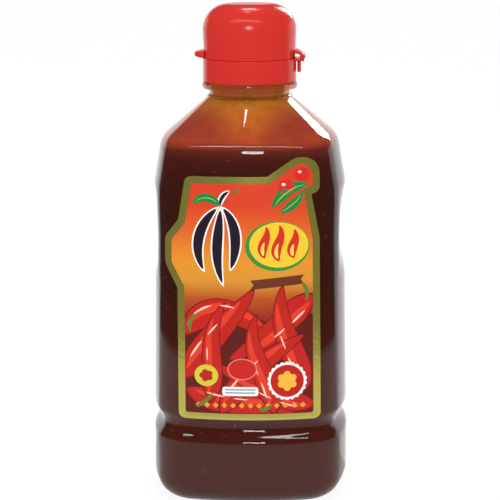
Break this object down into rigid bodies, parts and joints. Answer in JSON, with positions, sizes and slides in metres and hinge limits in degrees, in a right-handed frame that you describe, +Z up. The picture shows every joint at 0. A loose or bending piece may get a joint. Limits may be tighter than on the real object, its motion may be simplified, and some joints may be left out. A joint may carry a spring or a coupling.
{
  "type": "chilli sauce bottle",
  "caption": "Clear squeeze bottle filled with dark red chilli sauce, with a die-cut front label and a red flip-top cap whose lid swings open on a side hinge.",
  "frame": {"origin": "centre of the foot, on the surface that the bottle stands on", "axes": "+Z up along the bottle, -Y the front with the label, +X the side of the cap's hinge"},
  "size_m": [0.0688, 0.0672, 0.1723],
  "materials": {
    "clear_plastic": "clear glossy blown plastic",
    "chilli_sauce": "wet dark red-brown sauce",
    "printed_label": "printed film with a metallic gold border",
    "red_cap": "glossy red moulded plastic"
  },
  "bodies": {
    "filled_bottle": {"bottle": "clear_plastic", "sauce": "chilli_sauce", "label": "printed_label", "cap_base": "red_cap"},
    "lid": {"cap_lid": "red_cap"}
  },
  "joints": [
    {"name": "lid_hinge", "type": "hinge", "parent": "filled_bottle", "child": "lid", "pos_m": [0.0185, 0, 0.1539], "axis": [0, 1, 0], "range_deg": [0, 130]}
  ]
}
